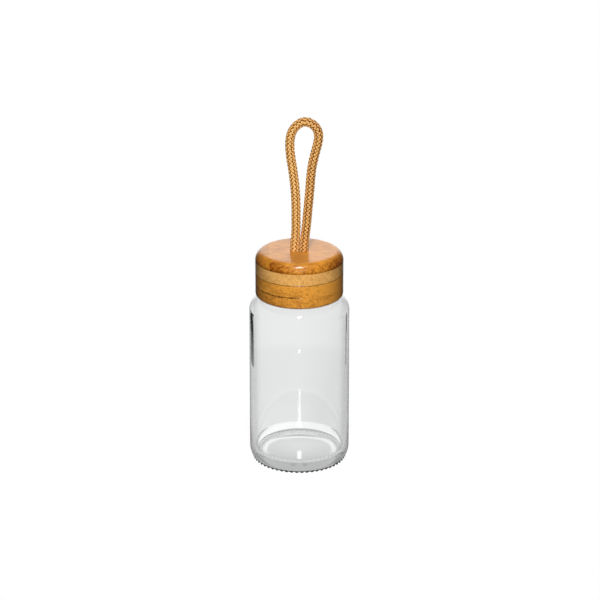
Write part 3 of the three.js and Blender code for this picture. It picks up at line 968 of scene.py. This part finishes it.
class BOTTLE_OT_cord_knot(bpy.types.Operator):
    """Build the overhand knot, pressed into its cavity under the top ply"""

    bl_idname = "bottle.cord_knot"
    bl_label = "Cord Knot"

    def execute(self, context):
        points = []
        for i in range(KNOT_STEPS):
            u = 2 * FULL_TURN * i / KNOT_STEPS
            reach = KNOT_LOOP_RADIUS * (2 + math.cos(1.5 * u)) / 2
            height = KNOT_LOOP_RADIUS * math.sin(1.5 * u) / 2
            points.append((reach * math.cos(u), reach * math.sin(u), height))
        source = route_object("knot_route", points, closed=True)
        add_braid(source, context.scene.bottle_cord, KNOT_CORD_DIAMETER / 2)
        piece = baked_piece("braided_knot", source)
        pressed = KNOT_HEIGHT / (KNOT_LOOP_RADIUS + KNOT_CORD_DIAMETER)
        for vertex in piece.data.vertices:
            vertex.co.z = KNOT_MIDDLE + vertex.co.z * pressed
        piece.data.shade_smooth()
        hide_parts("cord_knot")
        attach(piece, "cap")
        return {"FINISHED"}


# Materials.
GLASS_INDEX = 1.51
# Past this ray depth the glass glows a fixed grey instead, as painted light.
MOST_TURNS_IN_GLASS = 6.5
PAINTED_GREY_GLOW = 0.64
LACQUER_INDEX = 1.5


def new_material(name):
    """A material and its tree, empty."""
    material = bpy.data.materials.new(name)
    material.use_nodes = True
    material.node_tree.nodes.clear()
    return material, material.node_tree


def finished(material, shader, **more):
    """The material with that shader as its surface."""
    put(material.node_tree, "ShaderNodeOutputMaterial", {"Surface": shader, **more})
    return material


def rgba(colour):
    return (*colour[:3], 1)


def mix_colours(factor, first, second):
    """A Mix node for colours: its colour sockets are the ones numbered 6 and 7."""
    first, second = (c if isinstance(c, Value) else rgba(c) for c in (first, second))
    inputs = {0: factor, 6: first, 7: second}
    return put(factor.tree, "ShaderNodeMix", inputs, data_type="RGBA")[2]


def mix_shaders(share, first, second):
    """The first shader where share is 0, and the second where it is 1."""
    return put(share.tree, "ShaderNodeMixShader", {0: share, 1: first, 2: second})


def principled(tree, inputs):
    return put(tree, "ShaderNodeBsdfPrincipled", inputs)


def glow(tree, strength):
    return put(tree, "ShaderNodeEmission", {"Color": WHITE, "Strength": strength})


def bump(height, strength, distance):
    inputs = {"Height": height, "Strength": strength, "Distance": distance}
    return put(height.tree, "ShaderNodeBump", inputs)


def object_place(tree):
    return put(tree, "ShaderNodeTexCoord")["Object"]


def glass_material(sizes):
    material, tree = new_material("clear_moulded_glass")
    # Painted shade: the glass's colour darkens where it is seen edge on, along its outlines.
    facing = put(tree, "ShaderNodeLayerWeight", {"Blend": 0.5})["Facing"]
    edge = ramp(facing, 0.47, 0.72, "SMOOTHSTEP")
    inputs = {
        "Base Color": mix_colours(edge, sizes.tint, sizes.painted_edge_shade),
        "Roughness": 0.0,
        "IOR": GLASS_INDEX,
        "Transmission Weight": 1.0,
    }
    glass = principled(tree, inputs)
    clear = put(tree, "ShaderNodeBsdfTransparent", {"Color": (0.9, 0.905, 0.905, 1)})
    path = put(tree, "ShaderNodeLightPath")
    shader = mix_shaders(path["Is Shadow Ray"], glass, clear)
    # Painted light: light that has gone to and fro inside the glass for long is cut off, and the glass
    # glows an even grey there instead.
    lost = calc("GREATER_THAN", path["Ray Depth"], MOST_TURNS_IN_GLASS)
    shader = mix_shaders(lost, shader, glow(tree, PAINTED_GREY_GLOW))
    inputs = {"Color": (0.0, 0.02, 0.02, 1), "Density": 6.0}
    return finished(material, shader, Volume=put(tree, "ShaderNodeVolumeAbsorption", inputs))


def plastic_material(sizes):
    material, tree = new_material("moulded_liner_plastic")
    inputs = {"Vector": object_place(tree), "Scale": 900.0, "Detail": 3.0}
    grain = bump(put(tree, "ShaderNodeTexNoise", inputs), 0.15, 0.0001)
    inputs = {"Base Color": rgba(sizes.colour), "Roughness": 0.42, "Normal": grain}
    return finished(material, principled(tree, inputs))


def silicone_material(sizes):
    material, tree = new_material("seal_silicone_rubber")
    inputs = {"Base Color": rgba(sizes.gasket_colour), "Roughness": 0.55}
    return finished(material, principled(tree, inputs))


def bamboo_material(name, colours, seed, grain, shift, joint, glue, painted_shade_patches=()):
    """Lacquered bamboo in the colours of its light fibres, its dark fibres and its glue. Grain
    holds how often its fibres repeat per metre along each axis, and shift darkens it. A strip ends
    sideways at joint, with a wavy line, and the next one is lighter. Glue holds the height, the
    half width and the strength of each glue line, or of a band of painted shade along one, and the
    place where it fades sideways. Patches hold where a patch of painted shade on the front begins,
    where it is full, where it stops, and its strength."""
    material, tree = new_material(name)
    light, dark, line = colours
    place = object_place(tree)
    parts = parts_of(place)
    shifted = vector_calc("ADD", place, (seed * 0.37, seed * 0.11, seed * 0.23))

    def noise(stretch, detail):
        stretched = vector_calc("MULTIPLY", shifted, stretch)
        inputs = {"Vector": stretched, "Scale": 1.0, "Detail": detail, "Roughness": 0.6}
        return put(tree, "ShaderNodeTexNoise", inputs)

    fibres = noise(grain, 3.0)
    specks = noise((900, 900, 900), 2.0)
    cloud = noise((70, 70, 160), 2.0)
    waves = noise((230, 230, 230), 2.0)
    # The top face shows fewer specks than the sides, and neither patches nor the strip's seam.
    on_side = ramp(parts["Z"], CAP_TOP - 0.3 * MM, CAP_TOP - 2.0 * MM)
    on_front = on_side * ramp(parts["Y"], 0.0, -8 * MM)
    depth = ramp(fibres, 0.36, 0.64) * 0.4 + shift
    depth += ramp(specks, 0.38, 0.62) * (on_side * 0.36 + 0.06)
    depth += ramp(cloud, 0.34, 0.66) * 0.3
    for begin, full, stop, strength in painted_shade_patches:
        patch = ramp(parts["X"], begin, full) * ramp(parts["X"], stop, full)
        depth += patch * on_front * strength
    sideways = waves * (3 * MM) + (parts["X"] - (joint + 1.5 * MM))
    depth -= ramp(sideways, -0.1 * MM, 0.1 * MM) * 0.14
    wood = mix_colours(put(tree, "ShaderNodeClamp", {"Value": depth}), light, dark)
    marks = ramp(abs(sideways), 0.4 * MM, 0.0) * on_side * 0.3
    for height, half_width, strength, fade in glue:
        off = parts["Z"] - height
        if fade:
            off = waves * (-1.2 * MM) + (off + 0.6 * MM)
        mark = ramp(abs(off), half_width, half_width * 0.3)
        if fade:
            mark *= ramp(parts["X"], fade + MM, fade)
        marks = calc("MAXIMUM", marks, mark * ramp(specks, 0.25, 0.55) * strength)
    inputs = {
        "Base Color": mix_colours(marks, wood, line),
        "Roughness": 0.5,
        "IOR": LACQUER_INDEX,
        "Specular IOR Level": 0.25,
        "Coat Weight": 1.0,
        "Coat Roughness": 0.22,
        "Coat IOR": LACQUER_INDEX,
        "Normal": bump(specks, 0.22, 0.00008),
    }
    return finished(material, principled(tree, inputs))


def bamboo_materials(sizes):
    line = sizes.line_colour
    low, middle, high = PLY_HEIGHTS[1:4]
    amber = (sizes.amber_light, sizes.amber_dark, line)
    top = (sizes.top_light, sizes.top_dark, line)
    pale = (sizes.pale_light, sizes.pale_dark, line)
    split = (low, 0.6 * MM, 1.0, 0.5 * MM)
    # Painted shade on the top ply's front: a wedge that darkens towards the left, and its right side
    # darker.
    painted_shade_patches = [(-5 * MM, -17 * MM, -18 * MM, 0.6), (15 * MM, 21 * MM, 60 * MM, 0.5)]
    across, along, lower = (140, 900, 500), (700, 150, 900), (260, 120, 900)
    # The top ply's glue line, widened into a band of painted shade over the ply's lowest 1.6 mm.
    top_glue_line_and_shade = (high, 1.6 * MM, 0.5, 0)
    second_line = (middle, 0.3 * MM, 0.9, 0)
    third_line = (middle, 0.35 * MM, 0.9, 0)
    kinds = {
        "top": (top, 3.0, across, -0.05, -18 * MM, [top_glue_line_and_shade], painted_shade_patches),
        "second": (pale, 5.0, along, -0.1, -60 * MM, [second_line]),
        "third": (amber, 7.0, lower, -0.4, MM, [third_line, split]),
        "bottom": (amber, 11.0, lower, -0.23, MM, [split]),
    }
    return {name: bamboo_material(f"bamboo_{name}_ply", *kind) for name, kind in kinds.items()}


def yarn_material(sizes):
    """Twisted filaments along each yarn, with painted light where it rises and faces out, and painted
    shade in its dips and at its sides.
    """
    found = bpy.data.materials.get("braided_yarn")
    if found:
        return found
    material, tree = new_material("braided_yarn")
    names = ("yarn_run", "yarn_out", "yarn_lift", "yarn_lean")
    run, out, lift, lean = (
        put(tree, "ShaderNodeAttribute", attribute_name=name)["Fac"] for name in names
    )
    filaments = calc("SINE", (out * 2.5 + run * 700.0) * FULL_TURN) * 0.5 + 0.5
    # Painted shade: the lower end of a float is darker, and the upper one less so.
    raised = ramp(lean * 0.7 + lift, -0.1, 0.85, "SMOOTHSTEP")
    # Painted shade at the yarn's sides and inner face, and painted light where it faces out.
    tone = raised * (ramp(out, 0.1, 0.95) * 0.7 + 0.3)
    tone += (filaments - 0.5) * 0.12
    shadowed = mix_colours(ramp(tone, 0.0, 0.5), sizes.dark, sizes.middle)
    inputs = {
        "Base Color": mix_colours(ramp(tone, 0.45, 1.0), shadowed, sizes.light),
        "Roughness": 0.5,
        "Sheen Weight": 0.2,
        "Sheen Roughness": 0.4,
        "Normal": bump(filaments, 0.5, 0.00006),
    }
    return finished(material, principled(tree, inputs))


def core_material(sizes):
    found = bpy.data.materials.get("cord_core")
    if found:
        return found
    material, tree = new_material("cord_core")
    noise = put(tree, "ShaderNodeTexNoise", {"Vector": object_place(tree), "Scale": 1800.0})
    # Painted shade: the core's dark colour stands in for the shade in the gaps between the yarns.
    colour = mix_colours(noise, sizes.core, [c * 0.6 for c in sizes.core])
    inputs = {"Base Color": colour, "Roughness": 0.8}
    return finished(material, principled(tree, inputs))


# Stage.
def ray_shares(tree):
    """Values that are 1 where the camera looks straight, where it looks through glass, where it
    looks in a mirror, where the ray has met no matt surface, and where it has passed solid glass
    and no hollow. A ray through glass counts as a glossy one too."""
    path = put(tree, "ShaderNodeLightPath")
    through = path["Is Transmission Ray"]
    mirror = path["Is Glossy Ray"] * (1 - through)
    first = calc("LESS_THAN", path["Diffuse Depth"], 0.5)
    solid = through * calc("LESS_THAN", path["Transmission Depth"], 2.5)
    return path["Is Camera Ray"], through, mirror, first, solid


def behind_share(place, reach):
    """1 straight behind the bottle and 0 at the sides and in front."""
    parts = parts_of(place)
    share = (parts["Y"] - abs(parts["X"]) * 1.7) / reach
    return ramp(share, 0.1, 0.55, "SMOOTHSTEP")


def contact_shadow(parts, reach, teeth):
    """0 under the bearing ring and its teeth, and 1 round them. The teeth's shadows lean to the
    middle of the front, and make a saw-tooth line under the bottle's foot."""
    ring_middle, tooth_length, teeth_per_metre = 26.6 * MM, 3.4 * MM, 500.0
    lean = parts["X"] * teeth_per_metre * (1 - ring_middle / reach)
    tooth = calc("FRACT", (turn_share(parts) + 1) * teeth + lean)
    return ramp(abs(tooth - 0.5) * tooth_length + reach, 28.5 * MM, 29 * MM)


def floor_material(teeth):
    """A white floor. The camera sees it as lit near the bottle, with a painted contact shadow, and
    plain white further out. Glass shows it in painted greys, with painted shade under the base and
    further out, and painted light in a crescent and a streak under it. Mirrors find it painted
    dark, but for straight behind, under the base, and the painted glints in front."""
    material, tree = new_material("floor_white")
    place = object_place(tree)
    parts = parts_of(place)
    x, y, reach = parts["X"], parts["Y"], length_of(place)
    # Painted contact shadow: the floor's colour and glow go black under the bearing ring and its teeth.
    touch = contact_shadow(parts, reach, teeth)
    colour = mix_colours(touch, (0, 0, 0), (0.3, 0.3, 0.3))
    lit = put(tree, "ShaderNodeBsdfDiffuse", {"Color": colour})
    near = put(tree, "ShaderNodeAddShader", {0: lit, 1: glow(tree, touch * 0.78)})
    far = ramp(reach, 36 * MM, 75 * MM, "SMOOTHSTEP")
    seen = mix_shaders(far, near, glow(tree, 1.0))
    # Through the glass it shows painted shade: dark under the bearing ring, grey inside that and white
    # round it.
    front = ramp(y, 0.0, -12 * MM)
    inside = ramp(reach, 26.8 * MM, 25.6 * MM)
    past = ramp(reach - front * (2.2 * MM), 28.3 * MM, 29.5 * MM)
    round_ring = past * ramp(reach, 41 * MM, 35 * MM)
    # Painted shade under the base: grey and darker towards the front, with a lighter painted crescent
    # towards the back and a lighter middle.
    under = ramp(y, -22 * MM, 20 * MM) * 0.3 + 0.56
    painted_crescent = ramp(reach, 19.2 * MM, 20.6 * MM) * ramp(reach, 24 * MM, 23.2 * MM)
    under += painted_crescent * ramp(y, -12 * MM, 0.0) * 0.4
    under += ramp(reach, 16 * MM, 4 * MM) * 0.07
    # Painted light: a short bright streak under the base, seen through the glass, where the base would
    # gather the key lamp's light.
    painted_streak = ramp(y, -19 * MM, -15 * MM) * ramp(y, -1 * MM, -5 * MM)
    under += painted_streak * ramp(abs(x), 1.7 * MM, 0.8 * MM) * 0.5
    # Painted shade past the ring: grey, darker towards the right side and lighter far out.
    beyond = 0.87 - ramp(x / reach, 0.0, 0.25) * 0.08
    beyond += ramp(reach, 165 * MM, 180 * MM) * 0.05
    between = 1 - (inside + past)
    level = between * (0.45 - front * 0.45) + inside * under
    level += past * beyond
    level += round_ring * 0.26
    straight_on, through, mirror, first, solid = ray_shares(tree)
    solid = solid * ramp(reach, 60 * MM, 45 * MM)
    shown = glow(tree, put(tree, "ShaderNodeMix", {0: solid, 2: level, 3: 0.75}))
    # Painted glints: bright marks on the floor in front of the bottle, which only mirrors see and the
    # glass mirrors as light glints.
    level = behind_share(place, reach) * 0.97 + 0.03
    level += inside * under
    sideways = ramp(abs(x), 9 * MM, 3 * MM)
    noise = put(tree, "ShaderNodeTexNoise", {"Vector": place, "Scale": 300.0})
    dotted_glints = ramp(noise, 0.45, 0.56) * ramp(calc("SINE", y * 1400.0), -0.5, 0.5)
    glint_strength, fade = 20.0, 4
    for start, stop, share in ((96, 160, dotted_glints), (218, 227, 1.0)):
        begin = ramp(y, -start * MM, -(start + fade) * MM)
        end = ramp(y, -stop * MM, -(stop - fade) * MM)
        level += begin * end * sideways * share * glint_strength
    mirrored = glow(tree, level)
    # What lights the cap from below is dimmer than what the camera sees.
    outside = put(tree, "ShaderNodeBsdfDiffuse", {"Color": (0.08, 0.08, 0.08, 1)})
    shader = mix_shaders(through, outside, glow(tree, 0.6))
    for share, view in ((straight_on, seen), (through, shown), (mirror, mirrored)):
        shader = mix_shaders(share * first, shader, view)
    return finished(material, shader)


def make_world(settings):
    world = bpy.data.worlds.new("studio")
    bpy.context.scene.world = world
    world.use_nodes = True
    tree = world.node_tree
    tree.nodes.clear()
    straight_on, through, mirror, first, solid = ray_shares(tree)
    # Mirrors see the white backdrop behind the bottle, and the dark room in front of it.
    behind = behind_share(put(tree, "ShaderNodeTexCoord")["Generated"], 1.0)
    room = 0.04
    mirrored = behind * (settings.backdrop - room) + room
    # Looking up through the solid base shows the grey ceiling.
    looked = calc("MAXIMUM", straight_on, through)
    seen = calc("MAXIMUM", looked - solid * 0.24, mirror * mirrored) * first
    matt = calc("MAXIMUM", 1 - calc("MAXIMUM", looked, mirror), 1 - first)
    inputs = {"Color": WHITE, "Strength": seen + matt * settings.ambient}
    light = put(tree, "ShaderNodeBackground", inputs)
    put(tree, "ShaderNodeOutputWorld", {"Surface": light})


def point_at(holder, place, aim):
    holder.location = place
    holder.rotation_euler = (Vector(aim) - Vector(place)).to_track_quat("-Z", "Y").to_euler()


def add_softbox(name, place, aim_height, size, power, seen):
    """A lamp aimed at a point of the axis. Mirrors and glass don't show one that isn't seen."""
    lamp = bpy.data.lights.new(name, "AREA")
    lamp.shape = "RECTANGLE"
    lamp.size, lamp.size_y = size
    lamp.energy = power
    holder = new_object(name, lamp)
    point_at(holder, place, (0, 0, aim_height))
    if not seen:
        holder.visible_camera = False
        holder.visible_glossy = False
        holder.visible_transmission = False


def add_card(name, start, end):
    """A low dark card behind the bottle, from one azimuth to another in degrees from straight
    behind. Only rays that run along inside the glass wall meet it, at the bottle's outlines: it is
    painted shade, a dark sheet that only the glass shows, lighter towards the floor."""
    distance, height = 160 * MM, 47 * MM
    angles = [math.radians(angle) for angle in (start, end)]
    ends = [Vector((math.sin(angle), math.cos(angle), 0)) * distance for angle in angles]
    top = Vector((0, 0, height))
    corners = [ends[0], ends[1], ends[1] + top, ends[0] + top]
    mesh = new_mesh(name, corners, [], [(0, 1, 2, 3)])
    material, tree = new_material(name)
    # The card's painted shade lightens towards the floor.
    level = ramp(parts_of(object_place(tree))["Z"], 30 * MM, 0.0) * 0.3
    clear = put(tree, "ShaderNodeBsdfTransparent")
    solid = ray_shares(tree)[-1]
    mesh.materials.append(finished(material, mix_shaders(solid, clear, glow(tree, level))))
    card = new_object(name, mesh)
    card.visible_camera = False
    card.visible_diffuse = False
    card.visible_glossy = False
    card.visible_shadow = False


def add_camera(settings):
    camera = bpy.data.cameras.new("camera")
    camera.lens = settings.lens
    camera.sensor_width = 36
    camera.clip_start = 0.01
    camera.clip_end = 50
    holder = new_object("camera", camera)
    point_at(holder, settings.camera_place, settings.camera_aim)
    bpy.context.scene.camera = holder


def add_floor(reach, teeth):
    low = -0.02 * MM
    corners = [(-reach, -reach, low), (reach, -reach, low), (reach, reach, low), (-reach, reach, low)]
    mesh = new_mesh("studio_floor", corners, [], [(0, 1, 2, 3)])
    mesh.materials.append(floor_material(teeth))
    new_object("studio_floor", mesh)


class BOTTLE_OT_stage(bpy.types.Operator):
    """Set up the camera, the floor, the lamps and the world"""

    bl_idname = "bottle.stage"
    bl_label = "Stage"

    def execute(self, context):
        settings = context.scene.bottle_stage
        context.scene.view_settings.view_transform = "Standard"
        # Light goes to and fro many times inside the thick base and the thread.
        cycles = context.scene.cycles
        cycles.max_bounces = 32
        cycles.glossy_bounces = 24
        cycles.transmission_bounces = 32
        cycles.transparent_max_bounces = 32
        add_camera(settings)
        add_floor(settings.floor_reach, context.scene.bottle_glass.knurl_count)
        make_world(settings)
        softboxes = (
            ("over_front", (0.0, -0.45, 1.05), 0.12, (0.12, 0.24), settings.key_power, True),
            ("in_front", (0.0, -0.21, 0.2), 0.12, (0.1, 0.1), settings.front_power, False),
            ("behind", (0.2, 1.3, 0.8), 0.1, (0.6, 0.6), settings.back_power, False),
        )
        for side, *softbox in softboxes:
            add_softbox(f"softbox_{side}", *softbox)
        # Dark cards that only the glass shows, as painted shade along its outlines.
        add_card("dark_card_left", -55, -30)
        add_card("dark_card_right", 43.5, 48.5)
        return {"FINISHED"}


class BOTTLE_PT_panel(bpy.types.Panel):
    """The bottle's pieces and their settings"""

    bl_idname = "BOTTLE_PT_panel"
    bl_label = "Bottle"
    bl_space_type = "VIEW_3D"
    bl_region_type = "UI"
    bl_category = "Bottle"

    def draw(self, context):
        for operator in OPERATORS:
            self.layout.operator(operator.bl_idname)
        for name, group in SETTINGS.items():
            box = self.layout.box()
            box.label(text=group.__name__)
            for label in group.__annotations__:
                box.prop(getattr(context.scene, name), label)


OPERATORS = [
    BOTTLE_OT_stage,
    BOTTLE_OT_cord_knot,
    BOTTLE_OT_cord_loop,
    BOTTLE_OT_glass_body,
    BOTTLE_OT_cap_plies,
    BOTTLE_OT_liner,
    BOTTLE_OT_gasket,
]


def register():
    for name, group in SETTINGS.items():
        bpy.utils.register_class(group)
        setattr(bpy.types.Scene, name, bpy.props.PointerProperty(type=group))
    for operator in OPERATORS:
        bpy.utils.register_class(operator)
    bpy.utils.register_class(BOTTLE_PT_panel)


def unregister():
    bpy.utils.unregister_class(BOTTLE_PT_panel)
    for operator in reversed(OPERATORS):
        bpy.utils.unregister_class(operator)
    for name, group in SETTINGS.items():
        delattr(bpy.types.Scene, name)
        bpy.utils.unregister_class(group)


def main():
    register()
    bpy.ops.bottle.stage()
    bpy.ops.bottle.cord_knot()
    bpy.ops.bottle.cord_loop()
    bpy.ops.bottle.glass_body()
    bpy.ops.bottle.cap_plies()
    bpy.ops.bottle.liner()
    bpy.ops.bottle.gasket()


if __name__ == "__main__":
    main()
